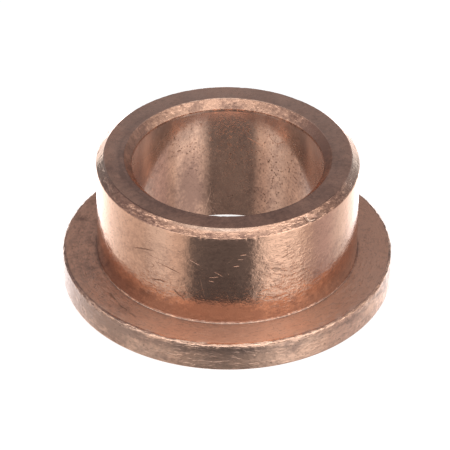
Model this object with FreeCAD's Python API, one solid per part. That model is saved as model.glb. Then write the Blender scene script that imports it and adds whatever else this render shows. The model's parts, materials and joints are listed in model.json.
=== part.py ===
"""Flanged plain bearing: one piece of porous sintered bronze, a turned sleeve standing on a flange.

Millimetres. The origin is the centre of the flange's outer (thrust) face, and +Z runs along the
bearing's axis towards the free end of the sleeve.
"""
import FreeCAD
import Part
import math
import os

# Driving dimensions
BORE_DIAMETER = 16.04
SLEEVE_DIAMETER = 22.0
FLANGE_DIAMETER = 27.8
FLANGE_THICKNESS = 2.6
TOTAL_LENGTH = 11.8

# Edges
MOUTH_CHAMFER = 0.67        # inner 45 degree chamfer at the sleeve's free end
LEAD_IN_CHAMFER = 0.63      # outer 45 degree chamfer that starts the sleeve in its housing
ROOT_FILLET = 0.10          # concave radius where the sleeve meets the flange
RIM_UPPER_RADIUS = 0.22     # rounded corner between the rim and the shoulder face
RIM_LOWER_RADIUS = 0.12     # rounded corner between the rim and the thrust face
BORE_EDGE_BREAK = 0.08      # small 45 degree break at the bore's edge in the thrust face

AXIS_START = FreeCAD.Vector(0, 0, 0)
AXIS_DIRECTION = FreeCAD.Vector(0, 0, 1)


def point(radius, height):
    """A point of the half section, in the XZ plane."""
    return FreeCAD.Vector(radius, 0, height)


def line(start, end):
    return Part.LineSegment(point(*start), point(*end)).toShape()


def arc(centre, radius, start_degrees, end_degrees):
    """A circular arc of the half section, from one angle to another about its centre."""
    middle_degrees = (start_degrees + end_degrees) / 2
    spots = []
    for degrees in (start_degrees, middle_degrees, end_degrees):
        angle = math.radians(degrees)
        spots.append(point(centre[0] + radius * math.cos(angle), centre[1] + radius * math.sin(angle)))
    return Part.Arc(*spots).toShape()


def flanged_bushing():
    """The whole bearing, as one half section turned about the axis."""
    bore = BORE_DIAMETER / 2
    sleeve = SLEEVE_DIAMETER / 2
    rim = FLANGE_DIAMETER / 2
    shoulder = FLANGE_THICKNESS
    top = TOTAL_LENGTH
    section = [
        line((bore + BORE_EDGE_BREAK, 0), (rim - RIM_LOWER_RADIUS, 0)),
        arc((rim - RIM_LOWER_RADIUS, RIM_LOWER_RADIUS), RIM_LOWER_RADIUS, -90, 0),
        line((rim, RIM_LOWER_RADIUS), (rim, shoulder - RIM_UPPER_RADIUS)),
        arc((rim - RIM_UPPER_RADIUS, shoulder - RIM_UPPER_RADIUS), RIM_UPPER_RADIUS, 0, 90),
        line((rim - RIM_UPPER_RADIUS, shoulder), (sleeve + ROOT_FILLET, shoulder)),
        arc((sleeve + ROOT_FILLET, shoulder + ROOT_FILLET), ROOT_FILLET, 270, 180),
        line((sleeve, shoulder + ROOT_FILLET), (sleeve, top - LEAD_IN_CHAMFER)),
        line((sleeve, top - LEAD_IN_CHAMFER), (sleeve - LEAD_IN_CHAMFER, top)),
        line((sleeve - LEAD_IN_CHAMFER, top), (bore + MOUTH_CHAMFER, top)),
        line((bore + MOUTH_CHAMFER, top), (bore, top - MOUTH_CHAMFER)),
        line((bore, top - MOUTH_CHAMFER), (bore, BORE_EDGE_BREAK)),
        line((bore, BORE_EDGE_BREAK), (bore + BORE_EDGE_BREAK, 0)),
    ]
    face = Part.Face(Part.Wire(section))
    return face.revolve(AXIS_START, AXIS_DIRECTION, 360)


def write(node, shape):
    """Write one sub-part's STEP file, after checking that it is a single sound solid."""
    if shape.ShapeType != "Solid":
        shape = Part.makeSolid(shape)
    if not shape.isValid() or shape.Volume <= 0:
        raise ValueError(node + " is not a valid solid")
    shape.exportStep(os.path.join("parts", node + ".step"))
    print(node, "volume", round(shape.Volume, 1), "mm3, box", shape.BoundBox)


os.makedirs("parts", exist_ok=True)
write("flanged_bushing", flanged_bushing())
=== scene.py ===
import json
import math

import bpy
import numpy as np
from mathutils import Matrix, Vector


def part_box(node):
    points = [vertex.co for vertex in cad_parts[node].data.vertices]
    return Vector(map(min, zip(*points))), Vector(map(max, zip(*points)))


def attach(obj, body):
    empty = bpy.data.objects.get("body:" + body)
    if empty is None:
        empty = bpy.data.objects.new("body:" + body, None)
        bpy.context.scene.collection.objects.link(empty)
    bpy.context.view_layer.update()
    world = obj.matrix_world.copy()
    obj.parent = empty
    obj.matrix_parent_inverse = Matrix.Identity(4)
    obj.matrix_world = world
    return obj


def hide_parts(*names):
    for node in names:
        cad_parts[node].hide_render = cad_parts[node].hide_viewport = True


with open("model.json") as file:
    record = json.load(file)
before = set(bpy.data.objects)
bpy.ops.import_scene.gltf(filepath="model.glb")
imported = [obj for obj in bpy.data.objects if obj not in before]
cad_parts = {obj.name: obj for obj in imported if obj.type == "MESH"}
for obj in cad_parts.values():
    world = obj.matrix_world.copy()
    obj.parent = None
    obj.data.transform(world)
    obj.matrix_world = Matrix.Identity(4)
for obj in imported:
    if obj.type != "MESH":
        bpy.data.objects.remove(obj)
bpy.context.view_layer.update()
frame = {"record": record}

# ---------------------------------------------------------------- sizes, in metres, from the frame
MM = 0.001
NODE = "flanged_bushing"
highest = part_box(NODE)[1]
mounts = {mount["name"]: mount for mount in frame["record"]["mounts"]}
BORE = mounts["shaft_bore"]["dims"]["r_mm"] * MM
SLEEVE = mounts["housing_seat"]["dims"]["r_mm"] * MM
SHOULDER = mounts["flange_shoulder"]["pos_m"][2]
RIM = highest.x
TOP = highest.z

# Edges
MOUTH_CHAMFER = 0.67 * MM
LEAD_IN_CHAMFER = 0.63 * MM
ROOT_BEVEL = 0.05 * MM
RIM_UPPER_RADIUS = 0.22 * MM
RIM_LOWER_RADIUS = 0.12 * MM
BORE_BREAK = 0.08 * MM
WORN_EDGE = 0.05 * MM       # radius that tumbling leaves on a chamfer's edges

SEGMENTS = 576              # facets around the axis
LEAST_ARC_STEPS = 3         # facets across the smallest rounded edge
CROWDING = 0.5              # how much closer the rings stand near a run's ends, from 0 to 1
SEED = 41


# ---------------------------------------------------------------- the turned outline
def outline_corners():
    """Corners of the half section: run that starts there, r, z, edge radius, spacing of the run."""
    return [
        ("bore", BORE, BORE_BREAK, 0.03 * MM, 0.50 * MM),
        ("mouth", BORE, TOP - MOUTH_CHAMFER, WORN_EDGE, 0.09 * MM),
        ("end", BORE + MOUTH_CHAMFER, TOP, WORN_EDGE, 0.16 * MM),
        ("lead", SLEEVE - LEAD_IN_CHAMFER, TOP, WORN_EDGE, 0.08 * MM),
        ("sleeve", SLEEVE, TOP - LEAD_IN_CHAMFER, WORN_EDGE, 0.26 * MM),
        ("root", SLEEVE, SHOULDER + ROOT_BEVEL, 0.02 * MM, 0.06 * MM),
        ("shoulder", SLEEVE + ROOT_BEVEL, SHOULDER, 0.02 * MM, 0.20 * MM),
        ("rim", RIM, SHOULDER, RIM_UPPER_RADIUS, 0.16 * MM),
        ("thrust", RIM, 0, RIM_LOWER_RADIUS, 0.55 * MM),
        ("break", BORE + BORE_BREAK, 0, 0.03 * MM, 0.06 * MM),
    ]


def corner_arc(before, corner, after, radius):
    """Points of the arc that rounds one corner, tangent to the runs on either side of it."""
    to_before = (before - corner) / np.linalg.norm(before - corner)
    to_after = (after - corner) / np.linalg.norm(after - corner)
    half_angle = math.acos(float(to_before @ to_after)) / 2
    bisector = (to_before + to_after) / np.linalg.norm(to_before + to_after)
    centre = corner + bisector * radius / math.sin(half_angle)
    start = corner + to_before * radius / math.tan(half_angle) - centre
    end = corner + to_after * radius / math.tan(half_angle) - centre
    first = math.atan2(start[1], start[0])
    turn = math.remainder(math.atan2(end[1], end[0]) - first, 2 * math.pi)
    steps = LEAST_ARC_STEPS + round(radius / WORN_EDGE)
    angles = first + turn * np.linspace(0, 1, steps + 1)
    return centre + radius * np.stack([np.cos(angles), np.sin(angles)], axis=1)


def turned_outline():
    """The closed half section as points (r, z), closer together towards the edges of a run, with the
    name of the run that each one is on."""
    corners = outline_corners()
    places = [np.array([radius, height]) for _, radius, height, _, _ in corners]
    arcs = []
    for index, (_, _, _, edge_radius, _) in enumerate(corners):
        after = places[(index + 1) % len(corners)]
        arcs.append(corner_arc(places[index - 1], places[index], after, edge_radius))
    points = []
    runs = []
    for index, (run, _, _, _, spacing) in enumerate(corners):
        arc = arcs[index]
        run_end = arcs[(index + 1) % len(corners)][0]
        pieces = max(1, round(np.linalg.norm(run_end - arc[-1]) / spacing))
        shares = np.arange(1, pieces) / pieces
        shares -= CROWDING * np.sin(2 * math.pi * shares) / (2 * math.pi)
        between = [arc[-1] + (run_end - arc[-1]) * share for share in shares]
        points += list(arc) + between
        runs += [run] * (len(arc) + len(between))
    return np.array(points), np.array(runs)


def outline_normals(points):
    """Outward unit normals of the closed outline."""
    tangent = np.roll(points, -1, axis=0) - np.roll(points, 1, axis=0)
    tangent /= np.linalg.norm(tangent, axis=1)[:, None]
    return np.stack([-tangent[:, 1], tangent[:, 0]], axis=1)


def outline_distances(points):
    """Distance along the outline to each point, and the whole length round."""
    steps = np.linalg.norm(np.roll(points, -1, axis=0) - points, axis=1)
    return np.concatenate([[0], np.cumsum(steps)[:-1]]), steps.sum()


# ---------------------------------------------------------------- wear
def eased(share):
    """0 to 1 with a level start and end."""
    return share * share * (3 - 2 * share)


def lattice_noise(random, around, along, cell_around, cell_along):
    """Smooth noise from -1 to 1 over the unrolled surface, closed around the axis."""
    columns = round(2 * math.pi * SLEEVE / cell_around)
    rows = math.ceil(along.max() / cell_along) + 3
    table = random.uniform(-1, 1, (rows, columns))
    u = around / (2 * math.pi) * columns
    v = along[:, None] / cell_along
    column = np.floor(u).astype(int)
    row = np.floor(v).astype(int)
    u = eased(u - column)
    v = eased(v - row)
    low = table[row, column % columns] * (1 - u) + table[row, (column + 1) % columns] * u
    high = table[row + 1, column % columns] * (1 - u) + table[row + 1, (column + 1) % columns] * u
    return low * (1 - v) + high * v


def near(along, place, reach):
    """1 on the ring at one distance along the outline, fading to 0 beyond its reach."""
    return np.exp(-((along - place) / reach) ** 2)[:, None]


def turned_from(around, angle):
    """Angle from one place around the axis, from minus to plus half a turn."""
    return np.remainder(around - angle + math.pi, 2 * math.pi) - math.pi


def dent(around, along, place, length, width, depth, tilt):
    """One bruise: an oval hollow whose long side is tilted from the turning direction."""
    x = turned_from(around, place[0]) * SLEEVE
    y = along[:, None] - place[1]
    long_way = x * math.cos(tilt) + y * math.sin(tilt)
    short_way = y * math.cos(tilt) - x * math.sin(tilt)
    return depth * np.exp(-(long_way / length) ** 2 - (short_way / width) ** 2)


# Single dents: run that it is on, degrees round from the -Y side, mm from the run's start,
# half length, half width and depth in mm, tilt in degrees
DENTS = [
    ("mouth", 133, 0.70, 0.10, 0.24, 0.050, 0),
    ("lead", -43, 0.40, 0.24, 0.16, 0.045, -20),
    ("lead", -31, 0.35, 0.34, 0.14, 0.040, 0),
    ("lead", -24, 0.62, 0.30, 0.12, 0.045, 0),
    ("lead", 22, 0.80, 0.12, 0.16, 0.050, 60),
    ("lead", 38, 0.30, 0.10, 0.34, 0.060, 10),
    ("lead", 41, 0.62, 0.30, 0.10, 0.060, 25),
    ("sleeve", -12, 0.04, 0.08, 0.16, 0.050, 0),
    ("sleeve", -9.5, 0.02, 0.09, 0.14, 0.045, 0),
    ("sleeve", -6.5, 0.05, 0.08, 0.18, 0.055, 0),
    ("sleeve", -3, 0.02, 0.12, 0.12, 0.045, 0),
    ("sleeve", 0.5, 0.04, 0.08, 0.15, 0.050, 0),
    ("sleeve", 4, 0.03, 0.10, 0.16, 0.050, 10),
    ("sleeve", 8.5, 0.06, 0.07, 0.20, 0.055, 0),
    ("sleeve", 45, 5.40, 0.12, 0.12, 0.030, 0),
    ("rim", -50, 0.30, 0.18, 0.14, 0.050, 10),
    ("rim", -27, 0.14, 0.22, 0.12, 0.050, 0),
    ("rim", -8, 0.12, 0.20, 0.10, 0.050, 0),
    ("rim", 21, 0.45, 0.22, 0.14, 0.060, 20),
    ("rim", 30, 0.12, 0.18, 0.12, 0.060, 0),
    ("rim", 36, 0.16, 0.14, 0.16, 0.060, 20),
    ("rim", 43, 0.10, 0.20, 0.14, 0.060, -10),
    ("rim", 48, 0.30, 0.20, 0.12, 0.060, 15),
    ("rim", 54, 0.20, 0.24, 0.14, 0.060, 0),
    ("rim", 60, 0.30, 0.26, 0.16, 0.070, 20),
    ("rim", 65, 0.20, 0.22, 0.14, 0.070, 0),
]

# Torn chamfers: cell of the noise round the axis and along the outline, and deepest wear, in mm
LUMPS = (0.55, 0.26, 0.010)
GRAINS = (0.26, 0.14, 0.004)
SIDE_CALM = 0.7             # share of the tearing that is missing at the very left and right

# Ragged lines at the edges: run that starts there, deepest wear and reach in mm
RAGGED_EDGES = [
    ("mouth", 0.020, 0.08),
    ("end", 0.050, 0.10),
    ("lead", 0.060, 0.10),
    ("sleeve", 0.060, 0.07),
]
EDGE_MIDDLE = 0.03 * MM     # from the start of a run to the middle of its rounded edge
RAGGED_CELL = 0.34 * MM
SPARSE_CELL = 2.4 * MM
LEAST_RAGGED = 0.25         # how ragged the calmest stretches are, beside the worst
LONG_CELL = 3 * MM          # so long that the noise hardly changes across an edge

# The rim's upper corner, bruised from lying loose with others: cell of the noise round the axis and
# deepest wear in mm
RIM_BRUISING = [(0.80, 0.046), (0.34, 0.070)]
RIM_BRUISE_CELL = 0.22 * MM
RIM_CORNER = 0.18 * MM
RIM_CORNER_REACH = 0.23 * MM

# Random bruises, mostly along the edges: run, mm from its start, spread about that in mm, how many
RANDOM_BRUISES = [
    ("rim", 0.25, 0.35, 60),
    ("sleeve", 0.00, 0.12, 30),
    ("lead", 0.00, 0.20, 24),
    ("mouth", 0.25, 0.12, 20),
    ("end", 0.00, 0.20, 14),
]
BRUISE_LENGTHS = (0.10, 0.28)   # half of each, in mm
BRUISE_WIDTHS = (0.09, 0.15)
BRUISE_DEPTHS = (0.008, 0.030)
BRUISE_TILTS = (-0.7, 0.7)      # radians


def tear_chamfers(depth, random, along, around, runs, start):
    """The chamfers are torn rather than cut: lumpy, with a ragged line at both edges, and calmer at
    the left and right."""
    calm_sides = 1 - SIDE_CALM * np.sin(around) ** 8
    on_chamfer = np.isin(runs, ["mouth", "lead"]).astype(float)[:, None] * calm_sides
    lumps = lattice_noise(random, around, along, LUMPS[0] * MM, LUMPS[1] * MM)
    grains = lattice_noise(random, around, along, GRAINS[0] * MM, GRAINS[1] * MM)
    depth += on_chamfer * (LUMPS[2] * MM * np.clip(lumps, 0, 1) + GRAINS[2] * MM * np.abs(grains))
    for run, deepest, reach in RAGGED_EDGES:
        ragged = lattice_noise(random, around, along, RAGGED_CELL, LONG_CELL)
        sparse = lattice_noise(random, around, along, SPARSE_CELL, LONG_CELL)
        gathered = LEAST_RAGGED + (1 - LEAST_RAGGED) * np.clip(sparse + 0.2, 0, 1)
        amount = np.clip(ragged, 0, 1) * gathered * calm_sides
        depth += deepest * MM * near(along, start[run] + EDGE_MIDDLE, reach * MM) * amount


def bruise_rim(depth, random, along, around, start):
    """Two sizes of bruises along the rim's upper corner."""
    for cell, deepest in RIM_BRUISING:
        ragged = lattice_noise(random, around, along, cell * MM, RIM_BRUISE_CELL)
        corner = near(along, start["rim"] + RIM_CORNER, RIM_CORNER_REACH)
        depth += deepest * MM * corner * np.clip(ragged, 0, 1)


def scatter_bruises(depth, random, along, around, start):
    """Small oval bruises in random places."""
    for run, offset, spread, count in RANDOM_BRUISES:
        for _ in range(count):
            place = start[run] + (offset + random.normal(0, spread)) * MM
            centre = (random.uniform(0, 2 * math.pi), place)
            length = random.uniform(*BRUISE_LENGTHS) * MM
            width = random.uniform(*BRUISE_WIDTHS) * MM
            deepest = random.uniform(*BRUISE_DEPTHS) * MM
            tilt = random.uniform(*BRUISE_TILTS)
            depth += dent(around, along, centre, length, width, deepest, tilt)


def wear_depth(along, around, runs, start):
    """How far the metal has gone below the sound surface, a row for each ring."""
    random = np.random.default_rng(SEED)
    depth = np.zeros((len(along), len(around)))
    tear_chamfers(depth, random, along, around, runs, start)
    bruise_rim(depth, random, along, around, start)
    scatter_bruises(depth, random, along, around, start)
    for run, degrees, offset, length, width, deepest, tilt in DENTS:
        centre = (math.radians(degrees), start[run] + offset * MM)
        shape = (length * MM, width * MM, deepest * MM, math.radians(tilt))
        depth += dent(around, along, centre, *shape)
    return depth


# ---------------------------------------------------------------- single scratches
# Run, degrees round from the -Y side, mm from the run's start, length and width in mm, tilt in
# degrees, dirt held in it (below zero: scraped down to clean metal); two lines hold painted shadow
SCRATCHES = [
    ("sleeve", -39, 2.85, 2.8, 0.11, -17, 0.7),
    ("sleeve", -24, 3.85, 2.1, 0.11, 10, 0.7),
    ("sleeve", -31, 5.35, 1.8, 0.12, -10, 0.8),
    ("sleeve", -21, 6.15, 1.6, 0.11, 42, 0.7),
    ("sleeve", -33, 4.10, 0.8, 0.08, -40, 0.5),
    ("sleeve", -30, 3.55, 1.2, 0.07, 0, 0.4),
    ("sleeve", -14, 2.60, 1.2, 0.04, 26, -0.2),
    ("sleeve", -3.6, 3.58, 1.1, 0.04, 32, -0.2),
    ("sleeve", -6.6, 4.34, 0.6, 0.04, 4, -0.2),
    ("sleeve", 7.0, 1.65, 0.7, 0.04, -6, -0.2),
    ("sleeve", 4.0, 2.75, 0.7, 0.04, -4, -0.2),
    ("sleeve", 26, 2.40, 1.2, 0.10, -16, 0.7),
    ("sleeve", 25, 3.90, 0.9, 0.10, 16, 0.7),
    ("sleeve", 27, 1.60, 0.5, 0.14, 0, 0.6),
    ("sleeve", 20, 3.40, 0.5, 0.16, -25, 0.7),
    ("lead", 37.5, 0.45, 0.75, 0.16, 83, -1.0),
    ("lead", 39.8, 0.74, 0.80, 0.16, -6, -1.0),
    # Painted shadows: dark lines beside the two scrapes above, for the shade along their edges
    ("lead", 36.4, 0.42, 0.7, 0.09, 83, 0.9),
    ("lead", 40.2, 0.88, 0.9, 0.09, -6, 0.9),
    ("end", 97, 0.90, 1.1, 0.08, 40, 0.2),
    ("end", 76, 0.55, 0.7, 0.08, 20, 0.2),
    ("shoulder", -52, 1.00, 1.6, 0.16, 6, 0.5),
    ("shoulder", -44, 1.30, 1.5, 0.14, 4, 0.5),
    ("shoulder", -38, 1.55, 1.0, 0.14, 6, 0.4),
]
MARK_REACH = 0.3            # mm from a scratch to where its influence starts to fade
BEYOND_ALL = 1e3            # mm, farther than any scratch


def mark_fields(along, around, start):
    """For each vertex, its place along and across the nearest single scratch, in lengths and widths
    of that scratch, whether it is near enough to matter, and the dirt in the scratch (painted
    shadow for two lines)."""
    shape = (len(along), len(around))
    nearest = np.full(shape, BEYOND_ALL)
    fields = {name: np.zeros(shape) for name in ("mark_x", "mark_y", "mark_near", "mark_dirt")}
    for run, degrees, offset, length, width, tilt, dirt_and_shadow in SCRATCHES:
        tilt = math.radians(tilt)
        x = turned_from(around, math.radians(degrees)) * SLEEVE / MM
        y = (along[:, None] - start[run]) / MM - offset
        long_way = x * math.cos(tilt) + y * math.sin(tilt)
        short_way = y * math.cos(tilt) - x * math.sin(tilt)
        away = np.hypot(np.maximum(np.abs(long_way) - length / 2, 0), short_way)
        closer = away < nearest
        nearest = np.where(closer, away, nearest)
        found = (long_way / length, short_way / width, np.clip(2 - away / MARK_REACH, 0, 1), dirt_and_shadow)
        for name, values in zip(fields, found):
            fields[name] = np.where(closer, values, fields[name])
    return fields


# ---------------------------------------------------------------- finish of each run
FINISH_NAMES = ("tarnish", "pale", "pores", "grain", "torn", "roughness", "dull")

# Run: the seven finishes at its start, and what its end adds to the tarnish and painted shade
FINISHES = {
    "bore": ((0.52, 0.00, 0.65, 0.03, 0.00, 0.11, 0.14), 0.05),
    "mouth": ((0.47, 0.02, 0.50, 0.20, 0.50, 0.24, 0.04), -0.15),
    "end": ((0.58, 0.05, 0.40, 0.45, 0.00, 0.30, 0.00), -0.22),
    "lead": ((0.24, 0.00, 0.40, 0.15, 1.00, 0.22, 0.03), 0.12),
    # The sleeve grows browner towards its foot
    "sleeve": ((-0.08, 0.00, 0.45, 0.18, 0.00, 0.12, 0.00), 0.42),
    # The root crease is browned: tarnish and painted shade that dims its highlight
    "root": ((0.95, 0.00, 1.00, 0.40, 1.00, 0.30, 0.00), 0.00),
    "shoulder": ((-0.07, 0.05, 0.55, 0.55, 0.35, 0.38, 0.13), 0.00),
    "rim": ((0.12, 0.18, 0.90, 0.12, 0.44, 0.32, 0.04), 0.10),
    "thrust": ((0.25, 0.10, 0.50, 0.60, 0.00, 0.28, 0.05), 0.00),
    "break": ((0.30, 0.10, 0.40, 0.30, 0.00, 0.27, 0.00), 0.00),
}
ALL_ROUND = 1000            # degrees of reach that take in every side

# Where one finish of a run changes: finish, run, degrees round from the -Y side, mm from the run's
# start, reach of both, what it adds
FINISH_PATCHES = [
    ("tarnish", "bore", 0, 10.8, ALL_ROUND, 0.8, 0.30),
    ("tarnish", "bore", 113, 8.5, 15, 4.5, 0.90),
    ("tarnish", "bore", 118, 10.0, 12, 2.0, 0.30),
    ("tarnish", "bore", 160, 8.6, 8, 2.0, -0.35),
    ("tarnish", "bore", 160, 2.2, 8, 2.0, 0.20),
    ("tarnish", "bore", 160, 5.2, 7, 1.6, 0.15),
    # Painted shade: browner near the top of the bore at the back, for the shade that the floor under
    # the part throws into the bore
    ("tarnish", "bore", 178, 10.6, 34, 1.6, 0.45),
    ("tarnish", "bore", 180, 5.0, 14, 5.0, -0.50),
    ("tarnish", "bore", 184, 11.0, 34, 0.12, -0.90),
    ("tarnish", "bore", 200, 8.8, 6, 2.0, -0.15),
    ("tarnish", "bore", 204, 4.8, 9, 2.4, 0.45),
    ("tarnish", "bore", 205, 2.5, 14, 2.0, 0.20),
    ("tarnish", "bore", 205, 2.0, 22, 3.0, 0.25),
    ("tarnish", "bore", 224, 6.5, 12, 3.5, -0.45),
    ("tarnish", "bore", 242, 10.0, 12, 2.0, 0.30),
    ("tarnish", "bore", 247, 8.5, 15, 4.5, 0.90),
    ("pale", "bore", 106, 9.0, 20, 4.0, 0.10),
    ("pale", "bore", 180, 10.6, 100, 3.0, 0.15),
    ("pale", "bore", 254, 9.0, 20, 4.0, 0.10),
    ("pores", "bore", 110, 9.0, 24, 4.0, -0.60),
    ("pores", "bore", 148, 4.8, 24, 4.8, 1.80),
    ("pores", "bore", 180, 11.0, 60, 0.6, -0.40),
    ("pores", "bore", 206, 8.0, 16, 3.0, 0.40),
    ("pores", "bore", 250, 9.0, 24, 4.0, -0.60),
    ("roughness", "bore", 104, 8.0, 18, 6.0, 0.12),
    ("roughness", "bore", 180, 11.0, 60, 0.5, 0.10),
    ("roughness", "bore", 256, 8.0, 18, 6.0, 0.12),
    ("dull", "bore", 0, 10.8, ALL_ROUND, 1.2, 0.12),
    ("dull", "bore", 97, 10.6, 24, 1.6, 0.45),
    ("dull", "bore", 120, 9.0, 24, 3.5, 0.14),
    ("dull", "bore", 240, 9.0, 24, 3.5, 0.14),
    ("dull", "bore", 263, 10.6, 24, 1.6, 0.45),
    ("tarnish", "mouth", 92, 0.4, 30, 2.0, 0.45),
    ("tarnish", "mouth", 120, 0.4, 22, 2.0, 0.60),
    ("tarnish", "mouth", 151, 0.4, 9, 2.0, -0.18),
    ("tarnish", "mouth", 182, 0.4, 24, 2.0, 0.10),
    ("tarnish", "mouth", 194, 0.4, 7, 2.0, 0.15),
    ("tarnish", "mouth", 211, 0.4, 9, 2.0, -0.22),
    ("tarnish", "mouth", 240, 0.4, 14, 2.0, 0.20),
    ("tarnish", "mouth", 268, 0.4, 30, 2.0, 0.45),
    ("pores", "mouth", 92, 0.4, 34, 2.0, -0.35),
    ("pores", "mouth", 268, 0.4, 34, 2.0, -0.35),
    ("torn", "mouth", 92, 0.4, 34, 2.0, -0.50),
    ("torn", "mouth", 268, 0.4, 34, 2.0, -0.50),
    ("roughness", "mouth", 92, 0.4, 30, 2.0, 0.10),
    ("roughness", "mouth", 268, 0.4, 30, 2.0, 0.10),
    ("dull", "mouth", 92, 0.4, 30, 2.0, 0.16),
    ("dull", "mouth", 268, 0.4, 30, 2.0, 0.12),
    # Painted shade: a darker line on the end face at the left, for the shade in a turned groove that
    # the relief lacks
    ("tarnish", "end", -80, 0.42, 46, 0.16, 0.45),
    # Painted shadow: a thin dark line along the inner edge of the end face, at the front and left
    ("tarnish", "end", -40, 0.0, 80, 0.07, 0.60),
    # The end face is browner at the front and paler at the back
    ("tarnish", "end", 0, 0.8, 95, 3.0, 0.22),
    ("tarnish", "end", 180, 0.8, 80, 3.0, -0.20),
    ("pale", "end", 180, 0.8, 110, 3.0, 0.38),
    # Painted highlight: the far left of the lead chamfer, seen edge-on, is less browned
    ("tarnish", "lead", -84, 0.4, 12, 2.0, -0.35),
    # Painted shadow: a thin dark line along the upper edge of the lead chamfer, at the left
    ("tarnish", "lead", -60, 0.0, 55, 0.07, 0.90),
    ("tarnish", "lead", -56, 0.4, 22, 2.0, 0.90),
    # Painted shadow: a thin dark line along the lower edge of the lead chamfer, at the left
    ("tarnish", "lead", -48, 0.88, 34, 0.09, 0.90),
    ("tarnish", "lead", 2, 0.66, 30, 0.24, 0.50),
    # Painted highlight: the upper part of the lead chamfer at the front is less browned
    ("tarnish", "lead", 6, 0.20, 21, 0.22, -0.70),
    ("tarnish", "lead", 38.5, 0.5, 6, 0.6, 0.15),
    ("tarnish", "lead", 57, 0.4, 20, 2.0, 0.60),
    # Painted highlights: the lead chamfer is less browned at its far right, paler at its far left and
    # right, and paler along its upper edge at the front
    ("tarnish", "lead", 84, 0.4, 14, 2.0, -0.35),
    ("pale", "lead", -84, 0.4, 14, 2.0, 0.65),
    ("pale", "lead", -6, 0.14, 15, 0.15, 0.70),
    ("pale", "lead", 84, 0.4, 15, 2.0, 0.80),
    ("torn", "lead", -92, 0.4, 28, 2.0, -1.00),
    ("torn", "lead", 4, 0.20, 18, 0.20, -0.50),
    ("torn", "lead", 38.5, 0.5, 6, 0.6, -0.75),
    ("torn", "lead", 92, 0.4, 26, 2.0, -0.90),
    ("roughness", "lead", -92, 0.4, 26, 2.0, -0.12),
    ("roughness", "lead", 88, 0.4, 18, 2.0, 0.06),
    ("tarnish", "sleeve", -64, 7.6, 26, 1.4, 0.35),
    # Painted shadow: a thin dark line just below the lead chamfer, at the left
    ("tarnish", "sleeve", -48, 0.0, 34, 0.10, 0.90),
    ("tarnish", "sleeve", -38, 4.0, 12, 2.5, 0.15),
    # The sleeve is browner near its foot all round, and most at the front
    ("tarnish", "sleeve", -2, 8.0, 15, 1.4, 1.00),
    ("tarnish", "sleeve", 0, 8.4, ALL_ROUND, 2.2, 0.70),
    ("tarnish", "sleeve", 56, 4.5, 12, 2.5, 0.25),
    ("pale", "sleeve", 68, 8.2, 28, 1.5, 0.25),
    ("pores", "sleeve", -38, 3.5, 20, 3.5, 0.35),
    ("pores", "sleeve", -2, 8.6, 14, 1.0, 0.40),
    ("pores", "sleeve", 0, 8.4, ALL_ROUND, 1.6, -0.35),
    ("pores", "sleeve", 26, 4.5, 14, 4.0, 0.55),
    ("grain", "sleeve", -31, 5.8, 10, 1.8, 0.60),
    ("grain", "sleeve", 0, 8.4, ALL_ROUND, 1.2, -0.15),
    ("grain", "sleeve", 27, 4.8, 12, 3.8, 1.10),
    ("grain", "sleeve", 180, 4.8, 90, 9.0, -0.11),
    ("roughness", "sleeve", 0, 5.2, 14, 2.4, 0.04),
    ("dull", "sleeve", 0, 8.6, ALL_ROUND, 1.5, 0.10),
    ("dull", "sleeve", 0, 8.6, 22, 1.5, -0.09),
    ("tarnish", "shoulder", -100, 1.4, 35, 3.0, 0.45),
    ("tarnish", "shoulder", -55, 1.4, 25, 1.5, 0.20),
    ("tarnish", "shoulder", -3, 0.2, 17, 0.7, 0.60),
    # Painted shade: a thin browned line along the root crease, all round
    ("tarnish", "shoulder", 0, 0.0, ALL_ROUND, 0.10, 0.90),
    ("pale", "shoulder", -34, 1.4, 12, 3.0, 0.22),
    ("pale", "shoulder", 6, 1.4, 60, 3.0, 0.45),
    ("dull", "shoulder", 20, 1.4, 15, 3.0, 0.08),
    ("tarnish", "rim", -80, 1.2, 18, 3.0, 0.60),
    ("tarnish", "rim", -56, 1.2, 36, 3.0, 0.80),
    ("tarnish", "rim", 0, 0.15, ALL_ROUND, 0.25, -0.05),
    ("tarnish", "rim", 0, 0.80, ALL_ROUND, 0.40, 0.55),
    ("tarnish", "rim", 20, 1.2, 9, 3.0, 0.22),
    ("tarnish", "rim", 82, 1.2, 16, 3.0, 0.40),
    ("torn", "rim", 0, 0.36, ALL_ROUND, 0.24, 0.65),
    ("roughness", "rim", 0, 0.15, ALL_ROUND, 0.25, -0.14),
]

# Runs that are handled most: their length in mm, and how many random blotches they have
BLOTCHED_RUNS = [("rim", 2.3, 90), ("mouth", 0.8, 30), ("end", 2.3, 24), ("shoulder", 2.6, 30)]
BLOTCH_DEGREES = (1.2, 4.0)     # reach round the axis
BLOTCH_REACHES = (0.15, 0.55)   # reach along the outline, in mm
BLOTCH_CHANGES = (0.2, 0.6)     # browner or paler, by this much tarnish


def random_blotches():
    """Browner and paler blotches, as rows like those of FINISH_PATCHES."""
    random = np.random.default_rng(SEED + 1)
    blotches = []
    for run, length, count in BLOTCHED_RUNS:
        for _ in range(count):
            place = (random.uniform(-180, 180), random.uniform(0, length))
            reach = (random.uniform(*BLOTCH_DEGREES), random.uniform(*BLOTCH_REACHES))
            change = random.choice([-1, 1]) * random.uniform(*BLOTCH_CHANGES)
            blotches.append(("tarnish", run, *place, *reach, change))
    return blotches


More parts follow.
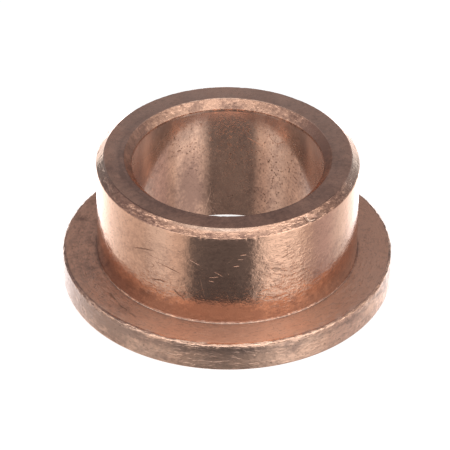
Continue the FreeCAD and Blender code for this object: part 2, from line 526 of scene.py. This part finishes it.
def finish_values(name, patches, along, around, runs, start):
    """One finish over the whole surface, a row for each ring."""
    column = FINISH_NAMES.index(name)
    values = np.zeros((len(along), len(around)))
    for run, (finishes, tarnish_and_shade_rise) in FINISHES.items():
        on_run = runs == run
        place = along[on_run] - start[run]
        part = place / max(place.max(), MM)
        rise = tarnish_and_shade_rise if name == "tarnish" else 0
        values[on_run] = (finishes[column] + rise * part)[:, None]
    for finish, run, degrees, offset, reach_degrees, reach, change in patches:
        if finish == name:
            across = turned_from(around, math.radians(degrees)) / math.radians(reach_degrees)
            patch = near(along, start[run] + offset * MM, reach * MM) * np.exp(-across ** 2)
            values += change * patch * (runs == run)[:, None]
    return values


# ---------------------------------------------------------------- mesh
UV_MARGIN = 0.006           # left clear round each half turn
BARE_DEPTH = 0.03 * MM      # wear that has taken off all the tarnish


def unrolled_uv(along, whole_length, rings):
    """The surface cut into two half turns, one above the other, as one corner of a face after
    another."""
    half = SEGMENTS // 2
    ring, segment = np.meshgrid(np.arange(rings), np.arange(SEGMENTS), indexing="ij")
    band = segment // half
    edges = np.append(along, whole_length) / whole_length
    corners = []
    for ring_step, segment_step in ((0, 0), (1, 0), (1, 1), (0, 1)):
        u = (segment - band * half + segment_step) / half
        v = edges[ring + ring_step]
        u = UV_MARGIN + u * (1 - 2 * UV_MARGIN)
        v = band / 2 + UV_MARGIN + v * (0.5 - 2 * UV_MARGIN)
        corners.append(np.stack([u, v], axis=2))
    return np.stack(corners, axis=2).reshape(-1)


def ring_faces(rings):
    """Four corners of every face from one ring to the next, and from the last ring to the first."""
    ring, segment = np.meshgrid(np.arange(rings), np.arange(SEGMENTS), indexing="ij")
    next_ring = (ring + 1) % rings
    next_segment = (segment + 1) % SEGMENTS
    return np.stack([
        ring * SEGMENTS + segment,
        next_ring * SEGMENTS + segment,
        next_ring * SEGMENTS + next_segment,
        ring * SEGMENTS + next_segment,
    ], axis=2).reshape(-1, 4)


def mesh_of(vertices, faces):
    """A smooth mesh of four-sided faces."""
    mesh = bpy.data.meshes.new("bushing")
    mesh.vertices.add(len(vertices))
    mesh.vertices.foreach_set("co", vertices.reshape(-1).astype(np.float32))
    mesh.loops.add(faces.size)
    mesh.loops.foreach_set("vertex_index", faces.reshape(-1).astype(np.int32))
    mesh.polygons.add(len(faces))
    mesh.polygons.foreach_set("loop_start", np.arange(0, faces.size, 4, dtype=np.int32))
    mesh.update(calc_edges=True)
    mesh.polygons.foreach_set("use_smooth", np.ones(len(faces), bool))
    return mesh


def store(mesh, name, values):
    """Keep one value for each vertex, for the material."""
    data = mesh.attributes.new(name, "FLOAT", "POINT").data
    data.foreach_set("value", values.reshape(-1).astype(np.float32))


def bushing_mesh():
    points, runs = turned_outline()
    normals = outline_normals(points)
    along, whole_length = outline_distances(points)
    start = {run: along[np.argmax(runs == run)] for run in dict.fromkeys(runs)}
    # around is 0 on the side that faces -Y and grows towards +X
    around = np.linspace(0, 2 * math.pi, SEGMENTS, endpoint=False)
    depth = wear_depth(along, around, runs, start)
    radius = points[:, 0:1] - normals[:, 0:1] * depth
    height = points[:, 1:2] - normals[:, 1:2] * depth
    vertices = np.stack([radius * np.sin(around), -radius * np.cos(around), height], axis=2)
    mesh = mesh_of(vertices.reshape(-1, 3), ring_faces(len(points)))
    unrolled = unrolled_uv(along, whole_length, len(points))
    mesh.uv_layers.new(name="OFBake").data.foreach_set("uv", unrolled)

    # Texture space in millimetres: round the axis in X and Y, and along the outline in Z.
    lathe = np.stack(np.broadcast_arrays(
        SLEEVE / MM * np.sin(around), -SLEEVE / MM * np.cos(around), along[:, None] / MM), axis=2)
    mesh.attributes.new("lathe", "FLOAT_VECTOR", "POINT").data.foreach_set(
        "vector", lathe.reshape(-1).astype(np.float32))
    patches = FINISH_PATCHES + random_blotches()
    for name in FINISH_NAMES:
        store(mesh, name, finish_values(name, patches, along, around, runs, start))
    store(mesh, "wear", np.clip(depth / BARE_DEPTH, 0, 1))
    for name, values in mark_fields(along, around, start).items():
        store(mesh, name, values)
    return mesh


# ---------------------------------------------------------------- material
class Graph:
    """Shader nodes written as calls: an input is either a plain value or another node's output."""

    def __init__(self, tree):
        self.tree = tree
        self.attributes = {}

    def node(self, kind, settings=None, **inputs):
        made = self.tree.nodes.new(kind)
        for name, value in (settings or {}).items():
            setattr(made, name, value)
        for name, value in inputs.items():
            key = int(name[1:]) if name[0] == "_" else name.replace("_", " ")
            self.set(made.inputs[key], value)
        return made

    def set(self, socket, value):
        if isinstance(value, bpy.types.NodeSocket):
            self.tree.links.new(value, socket)
        else:
            socket.default_value = value

    def math(self, operation, first, second=0.0, clamp=False):
        settings = {"operation": operation, "use_clamp": clamp}
        return self.node("ShaderNodeMath", settings, _0=first, _1=second).outputs[0]

    def times(self, *factors):
        product = factors[0]
        for factor in factors[1:]:
            product = self.math("MULTIPLY", product, factor)
        return product

    def plus(self, *terms):
        total = terms[0]
        for term in terms[1:]:
            total = self.math("ADD", total, term)
        return total

    def vector(self, operation, first, second=(0, 0, 0), output="Vector"):
        made = self.node("ShaderNodeVectorMath", {"operation": operation}, _0=first, _1=second)
        return made.outputs[output]

    def attribute(self, name, output="Fac"):
        """What the vertices say, from one node however often it is asked for."""
        if name not in self.attributes:
            settings = {"attribute_name": name}
            self.attributes[name] = self.node("ShaderNodeAttribute", settings).outputs[output]
        return self.attributes[name]

    def noise(self, space, scale, detail=2.0, rough=0.5, squeeze=None):
        """Noise from 0 to 1. Squeezed along the outline, its grains lie round the axis."""
        if squeeze:
            space = self.vector("MULTIPLY", space, squeeze)
        made = self.node("ShaderNodeTexNoise", None, Vector=space, Scale=scale, Detail=detail,
                         Roughness=rough)
        return made.outputs["Fac"]

    def smooth(self, value, low, high, to_low=0.0, to_high=1.0):
        """value eased from one range to another."""
        made = self.node("ShaderNodeMapRange", {"interpolation_type": "SMOOTHSTEP"}, Value=value,
                         From_Min=low, From_Max=high, To_Min=to_low, To_Max=to_high)
        return made.outputs[0]

    def mix(self, factor, first, second):
        made = self.node("ShaderNodeMix", {"data_type": "RGBA"}, _0=factor)
        for place, colour in ((6, first), (7, second)):
            self.set(made.inputs[place], (*colour, 1) if isinstance(colour, tuple) else colour)
        return made.outputs[2]


def scratches(graph, space, cell, width, share):
    """Straight scratches. Each cell of space holds one at most, where a random plane cuts the
    surface."""
    cells = graph.node("ShaderNodeTexVoronoi", {"feature": "F1"}, Vector=space, Scale=1 / cell)
    offset = graph.vector("SUBTRACT", space, cells.outputs["Position"])
    random_axis = graph.vector("SUBTRACT", cells.outputs["Color"], (0.5, 0.5, 0.5))
    normal = graph.vector("NORMALIZE", random_axis)
    away = graph.vector("DOT_PRODUCT", offset, normal, "Value")
    line = graph.smooth(graph.math("ABSOLUTE", away), 0.0, width, 1.0, 0.0)
    reach = graph.vector("LENGTH", offset, output="Value")
    ends = graph.smooth(reach, cell * 0.25, cell * 0.5, 1.0, 0.0)
    chosen = graph.node("ShaderNodeSeparateColor", None, Color=cells.outputs["Color"])
    return graph.times(line, ends, graph.math("LESS_THAN", chosen.outputs[0], share))


# Colours of the metal, of the dark in its pores and of a fresh scrape
FRESH = (0.91, 0.518, 0.345)
BROWN = (0.38, 0.209, 0.150)
PALE = (0.97, 0.76, 0.60)
PIT = (0.16, 0.085, 0.06)
CLEAN = (0.95, 0.66, 0.48)

# Browning: from 0, fresh, to 1, brown
CLOUDS = 0.18               # what clouds and patches add or take away
MOTTLE = (0.14, 0.17)       # the same for the fine mottle of sound metal, and what torn metal adds
RIDGE_POLISH = 0.65         # rubbed off the ridges of torn metal
WEAR_POLISH = 0.25          # rubbed off where the metal is worn

# How far each mark goes towards the dark colour of the pores
PORE_DARKNESS = 0.70
DASH_DARKNESS = 0.40
HOLLOW_DARKNESS = 0.15

# Roughness that patches and pores add
ROUGH_PATCHES = (-0.03, 0.05)
PORE_ROUGHNESS = 0.22

# Random scratches: cell and width in mm, share of the cells that have one
LONG_SCRATCHES = (2.6, 0.035, 0.30)
SHORT_SCRATCHES = (1.5, 0.03, 0.18)

# Height of each kind of relief, in mm
RIDGE_HEIGHT = 0.022
BEAD_HEIGHT = 0.05
TURNING_HEIGHT = 0.006
WAVE_HEIGHTS = (0.025, 0.065)
RIPPLE_HEIGHT = 0.010
PORE_DEPTH = 0.006
DASH_DEPTH = 0.010
RANDOM_SCRATCH_DEPTH = 0.004
MARK_DEPTHS = (0.006, 0.008)    # of a mark without dirt, and what full dirt adds


def metal_colour(graph, space, patches, ridges):
    """Fresh metal, browned in clouds and patches, paler in others, polished where it is worn. Its
    tarnish and pale finishes also hold painted shade and painted highlights.
    """
    clouds = graph.smooth(graph.noise(space, 0.22, 4.0, 0.6), 0.30, 0.72, -CLOUDS, CLOUDS)
    patchy = graph.smooth(patches, 0.30, 0.72, -CLOUDS, CLOUDS)
    mottle = graph.smooth(graph.noise(space, 3.4, 3.0, 0.6), 0.32, 0.68, -1, 1)
    sound_mottle, torn_mottle = MOTTLE
    strength = graph.plus(graph.times(graph.attribute("torn"), torn_mottle), sound_mottle)
    mottle = graph.times(mottle, strength)
    polished = graph.times(ridges, -RIDGE_POLISH)
    browned = graph.plus(graph.attribute("tarnish"), clouds, patchy, mottle, polished)
    rubbed = graph.times(graph.attribute("wear"), WEAR_POLISH)
    browned = graph.math("SUBTRACT", browned, rubbed, clamp=True)
    colour = graph.mix(browned, FRESH, BROWN)
    bleached = graph.noise(space, 0.35, 3.0, squeeze=(1, 1, 1.6))
    paling = graph.smooth(bleached, 0.25, 0.60, 0.6, 1.0)
    pale = graph.math("MULTIPLY", paling, graph.attribute("pale"), clamp=True)
    return graph.mix(pale, colour, PALE)


def pore_pits(graph, space):
    """Pores, gathered in drifts."""
    drift = graph.smooth(graph.noise(space, 0.6, 3.0), 0.35, 0.65, 0.25, 1.0)
    fine = graph.noise(space, 4.4, 3.0, 0.6, squeeze=(1, 1, 1.2))
    open_pores = graph.times(graph.smooth(fine, 0.57, 0.69), drift)
    return graph.math("MULTIPLY", open_pores, graph.attribute("pores"), clamp=True)


def torn_dashes(graph, space):
    """Dashes drawn out round the axis by the sizing die."""
    drawn = graph.noise(space, 1.9, 3.0, 0.6, squeeze=(1, 1, 2.8))
    dashes = graph.smooth(drawn, 0.55, 0.66)
    return graph.math("MULTIPLY", dashes, graph.attribute("grain"), clamp=True)


def placed_scratches(graph, space):
    """The single scratches where the part has been knocked, and two painted shadow lines beside
    scrapes: a little wavy, with tapered ends.
    """
    wander = graph.smooth(graph.noise(space, 1.2, 2.0), 0.2, 0.8, -0.8, 0.8)
    across = graph.math("ABSOLUTE", graph.plus(graph.attribute("mark_y"), wander))
    lengthways = graph.math("ABSOLUTE", graph.attribute("mark_x"))
    line = graph.smooth(across, 0.2, 0.75, 1.0, 0.0)
    taper = graph.smooth(lengthways, 0.2, 0.5, 1.0, 0.0)
    return graph.times(line, graph.attribute("mark_near"), taper)


def raised_relief(graph, space, patches, ridges):
    """Turning lines, waves and ripples of the sized surface, and the beads of a torn one, in mm."""
    grain = graph.attribute("grain")
    turning = graph.noise(space, 1.5, 2.0, 0.6, squeeze=(0.05, 0.05, 7.0))
    ripple = graph.noise(space, 1.1, 2.0, 0.5, squeeze=(1, 1, 1.8))
    waves = graph.noise(space, 1.35, 1.5, 0.5, squeeze=(1, 1, 2.2))
    beads = graph.noise(space, 2.4, 1.0, 0.5, squeeze=(1, 1, 1.6))
    # A surface that is dull by more than a quarter has no ripple left.
    flattened = graph.times(graph.attribute("dull"), 4 * RIPPLE_HEIGHT)
    ripple_height = graph.math("SUBTRACT", RIPPLE_HEIGHT, flattened, clamp=True)
    return graph.plus(
        graph.times(waves, grain, graph.smooth(patches, 0.38, 0.62, *WAVE_HEIGHTS)),
        graph.times(turning, grain, TURNING_HEIGHT),
        graph.times(beads, graph.attribute("torn"), BEAD_HEIGHT),
        graph.times(ripple, ripple_height),
        graph.times(ridges, RIDGE_HEIGHT))


def sunk_relief(graph, pits, dashes, random_lines, marks):
    """Pores, dashes and scratches, in mm."""
    clean_depth, dirt_and_shadow_depth = MARK_DEPTHS
    dirt_and_shadow = graph.math("ABSOLUTE", graph.attribute("mark_dirt"))
    mark_depth = graph.plus(graph.times(dirt_and_shadow, dirt_and_shadow_depth), clean_depth)
    return graph.plus(
        graph.times(pits, PORE_DEPTH),
        graph.times(random_lines, RANDOM_SCRATCH_DEPTH),
        graph.times(marks, mark_depth),
        graph.times(dashes, DASH_DEPTH))


def marked_colour(graph, colour, pits, dashes, hollows, marks):
    """Darker in pores, dashes, hollows, dirty marks and painted shadow lines, and clean metal where
    a mark is scraped.
    """
    mark_dirt = graph.attribute("mark_dirt")
    dirt_and_shadow = graph.math("MULTIPLY", marks, mark_dirt, clamp=True)
    scraped = graph.math("MULTIPLY", marks, graph.times(mark_dirt, -1), clamp=True)
    darker = graph.math("MAXIMUM", graph.times(pits, PORE_DARKNESS),
                        graph.times(dashes, DASH_DARKNESS))
    dirt_shadow_and_hollows = graph.math("MAXIMUM", dirt_and_shadow, graph.times(hollows, HOLLOW_DARKNESS))
    darkest = graph.math("MAXIMUM", darker, dirt_shadow_and_hollows)
    return graph.mix(scraped, graph.mix(darkest, colour, PIT), CLEAN)


def bronze_material():
    material = bpy.data.materials.new("sintered_bronze")
    material.use_nodes = True
    graph = Graph(material.node_tree)
    shader = material.node_tree.nodes["Principled BSDF"]
    space = graph.attribute("lathe", "Vector")
    torn = graph.attribute("torn")
    patches = graph.noise(space, 1.3, 4.0, 0.65)

    # Where the metal is torn it stands in broad ridges and hollows.
    ridge = graph.noise(space, 1.25, 2.0, 0.5, squeeze=(1, 1, 2.6))
    ridges = graph.times(graph.smooth(ridge, 0.54, 0.62), torn)
    hollows = graph.times(graph.smooth(ridge, 0.46, 0.38), torn)

    colour = metal_colour(graph, space, patches, ridges)
    pits = pore_pits(graph, space)
    dashes = torn_dashes(graph, space)
    random_lines = graph.math("MAXIMUM", scratches(graph, space, *LONG_SCRATCHES),
                              scratches(graph, space, *SHORT_SCRATCHES))
    marks = placed_scratches(graph, space)
    colour = marked_colour(graph, colour, pits, dashes, hollows, marks)
    rough_patches = graph.smooth(patches, 0.30, 0.70, *ROUGH_PATCHES)
    rough_pits = graph.times(pits, PORE_ROUGHNESS)
    roughness = graph.plus(graph.attribute("roughness"), rough_patches, rough_pits)
    raised = raised_relief(graph, space, patches, ridges)
    sunk = sunk_relief(graph, pits, dashes, random_lines, marks)
    relief = graph.math("SUBTRACT", raised, sunk)
    bump = graph.node("ShaderNodeBump", None, Strength=1.0, Distance=MM, Height=relief)
    # Old oil and oxide in the pores make some runs shine less like clean metal.
    metallic = graph.math("SUBTRACT", 1.0, graph.attribute("dull"), clamp=True)

    graph.set(shader.inputs["Base Color"], colour)
    graph.set(shader.inputs["Roughness"], roughness)
    graph.set(shader.inputs["Normal"], bump.outputs["Normal"])
    graph.set(shader.inputs["Metallic"], metallic)
    return material


# ---------------------------------------------------------------- studio
# What stands round the part, on the bench and in five rings above it: degrees round from the -Y
# side, brightness. There are white cards, grey walls and a dark gap between them.
BENCH = [(-180, 3.0), (-140, 1.8), (-118, 1.0), (-98, 0.70), (-80, 0.60), (-66, 0.76), (-56, 0.82),
         (-46, 0.70), (-39, 0.60), (-30, 0.15), (0, 0.125), (21, 0.15), (31, 0.82), (39, 1.12),
         (48, 1.05), (63, 0.97), (71, 0.62), (82, 0.44), (98, 0.53), (118, 0.86), (142, 1.6),
         (180, 3.0)]
EYE_LEVEL = [(-180, 0.85), (-152, 1.25), (-125, 0.90), (-102, 0.36), (-66, 0.34), (-42, 1.10),
             (-22, 1.15), (-8, 0.50), (12, 0.50), (30, 1.20), (58, 1.15), (80, 0.40), (104, 0.34),
             (128, 0.90), (154, 1.25), (180, 0.85)]
HORIZON = [(-180, 0.25), (-145, 0.15), (-120, 0.25), (-95, 0.8), (-60, 1.8), (0, 2.0), (60, 2.2),
           (95, 0.7), (120, 0.25), (145, 0.15), (180, 0.25)]
ABOVE = [(-180, 0.23), (-156, 0.42), (-120, 0.50), (-97, 0.50), (-82, 0.60), (-65, 1.10),
         (-45, 1.24), (0, 0.72), (22, 1.22), (45, 1.78), (65, 1.20), (82, 0.78), (97, 0.58),
         (120, 0.50), (156, 0.38), (180, 0.23)]
GAP = [(-180, 0.22), (-97, 0.25), (-82, 0.46), (-65, 0.50), (-45, 0.55), (0, 0.50), (45, 0.85),
       (65, 0.74), (82, 0.64), (97, 0.30), (180, 0.22)]
OVERHEAD = [(-180, 0.25), (-80, 0.4), (-50, 0.95), (0, 1.4), (50, 1.25), (80, 0.45), (180, 0.25)]

# Each ring takes over from the one below it between two heights, as sines of the elevation.
RISING_RINGS = [
    (-0.36, -0.24, EYE_LEVEL),
    (-0.03, 0.03, HORIZON),
    (0.30, 0.55, ABOVE),
    (0.60, 0.72, GAP),
    (0.74, 0.88, OVERHEAD),
]

# Up to which brightness each tint holds. Cards and dark corners are cooler than the grey walls.
TINTS = [
    (0.20, (0.92, 1.0, 1.16)),
    (0.55, (1.0, 0.96, 1.07)),
    (0.72, (1.0, 0.98, 0.98)),
    (math.inf, (0.94, 1.0, 1.06)),
]
WHITE = (1, 1, 1, 1)


def light_colour(brightness):
    tint = next(tint for limit, tint in TINTS if brightness < limit)
    return (*(brightness * channel for channel in tint), 1)


def ring_of_light(graph, turn, stops):
    """Brightness round the axis. turn runs from 0 to 1 over -180 to 180 degrees."""
    ramp = graph.node("ShaderNodeValToRGB", None, Fac=turn)
    elements = ramp.color_ramp.elements
    elements.remove(elements[-1])
    for index, (degrees, brightness) in enumerate(stops):
        place = (degrees + 180) / 360
        element = elements.new(place) if index else elements[0]
        element.position = place
        element.color = light_colour(brightness)
    return ramp.outputs["Color"]


def studio_world():
    """Light from all round for the part, and plain white where the camera sees past it."""
    world = bpy.data.worlds.new("studio")
    world.use_nodes = True
    bpy.context.scene.world = world
    world.node_tree.nodes.clear()
    graph = Graph(world.node_tree)
    direction = graph.node("ShaderNodeTexCoord").outputs["Generated"]
    axes = graph.node("ShaderNodeSeparateXYZ", None, Vector=direction).outputs
    azimuth = graph.math("ARCTAN2", axes["X"], graph.times(axes["Y"], -1))
    turn = graph.plus(graph.times(azimuth, 0.5 / math.pi), 0.5)
    # The bench is brighter far out than straight below.
    bench = ring_of_light(graph, turn, BENCH)
    light = graph.vector("MULTIPLY", bench, graph.smooth(axes["Z"], -0.85, -0.30, 0.65, 1.35))
    for low, high, ring in RISING_RINGS:
        share = graph.smooth(axes["Z"], low, high)
        light = graph.mix(share, light, ring_of_light(graph, turn, ring))
    studio = graph.node("ShaderNodeBackground", None, Color=light)
    paper = graph.node("ShaderNodeBackground", None, Color=WHITE)
    seen = graph.node("ShaderNodeLightPath").outputs["Is Camera Ray"]
    shown = graph.node("ShaderNodeMixShader", None, _0=seen, _1=studio.outputs[0], _2=paper.outputs[0])
    graph.node("ShaderNodeOutputWorld", None, Surface=shown.outputs[0])


# ---------------------------------------------------------------- floor
FLOOR_SIZE = 3              # metres
PAPER = (0.3, 0.3, 0.3, 1)
PAPER_GLOW = 0.86


def floor():
    """White paper that stays evenly bright around the part."""
    bpy.ops.mesh.primitive_plane_add(size=FLOOR_SIZE)
    plane = bpy.context.object
    plane.name = "floor"
    plane.visible_glossy = False
    material = bpy.data.materials.new("paper")
    material.use_nodes = True
    material.node_tree.nodes.clear()
    graph = Graph(material.node_tree)
    diffuse = graph.node("ShaderNodeBsdfDiffuse", None, Color=PAPER)
    glow = graph.node("ShaderNodeEmission", None, Strength=PAPER_GLOW)
    both = graph.node("ShaderNodeAddShader", None, _0=diffuse.outputs[0], _1=glow.outputs[0])
    graph.node("ShaderNodeOutputMaterial", None, Surface=both.outputs[0])
    plane.data.materials.append(material)


# ---------------------------------------------------------------- camera
ELEVATION = math.radians(35.5)
ROLL = math.radians(0.48)
DISTANCE = 28 * SLEEVE
AIM_LEFT = 0.20 * MM        # from the middle of the picture
AIM_DOWN = 0.65 * MM
FOCAL_LENGTH = 292.5        # mm, as is the sensor's width
SENSOR_WIDTH = 36


def camera():
    """Looks down at the part from the -Y side, from far enough to flatten its ellipses."""
    right = Vector((1, 0, 0))
    up = Vector((0, math.sin(ELEVATION), math.cos(ELEVATION)))
    back = Vector((0, -math.cos(ELEVATION), math.sin(ELEVATION)))
    middle = Vector((0, 0, SLEEVE / 2))
    place = middle + back * DISTANCE
    aim = middle - right * AIM_LEFT - up * AIM_DOWN
    look = (place - aim).normalized()
    side = math.cos(ROLL) * right + math.sin(ROLL) * up
    side = (side - look * side.dot(look)).normalized()
    data = bpy.data.cameras.new("camera")
    data.sensor_width = SENSOR_WIDTH
    data.lens = FOCAL_LENGTH
    data.clip_start = 0.01
    data.clip_end = 20
    made = bpy.data.objects.new("camera", data)
    bpy.context.scene.collection.objects.link(made)
    turned = Matrix((side, look.cross(side), look)).transposed()
    made.matrix_world = Matrix.Translation(place) @ turned.to_4x4()
    bpy.context.scene.camera = made


# ---------------------------------------------------------------- the part and its studio
bushing = bpy.data.objects.new("bronze_bushing", bushing_mesh())
bpy.context.scene.collection.objects.link(bushing)
bushing.data.materials.append(bronze_material())
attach(bushing, "root")
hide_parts(NODE)

studio_world()
floor()
camera()
bpy.context.scene.view_settings.view_transform = "Standard"
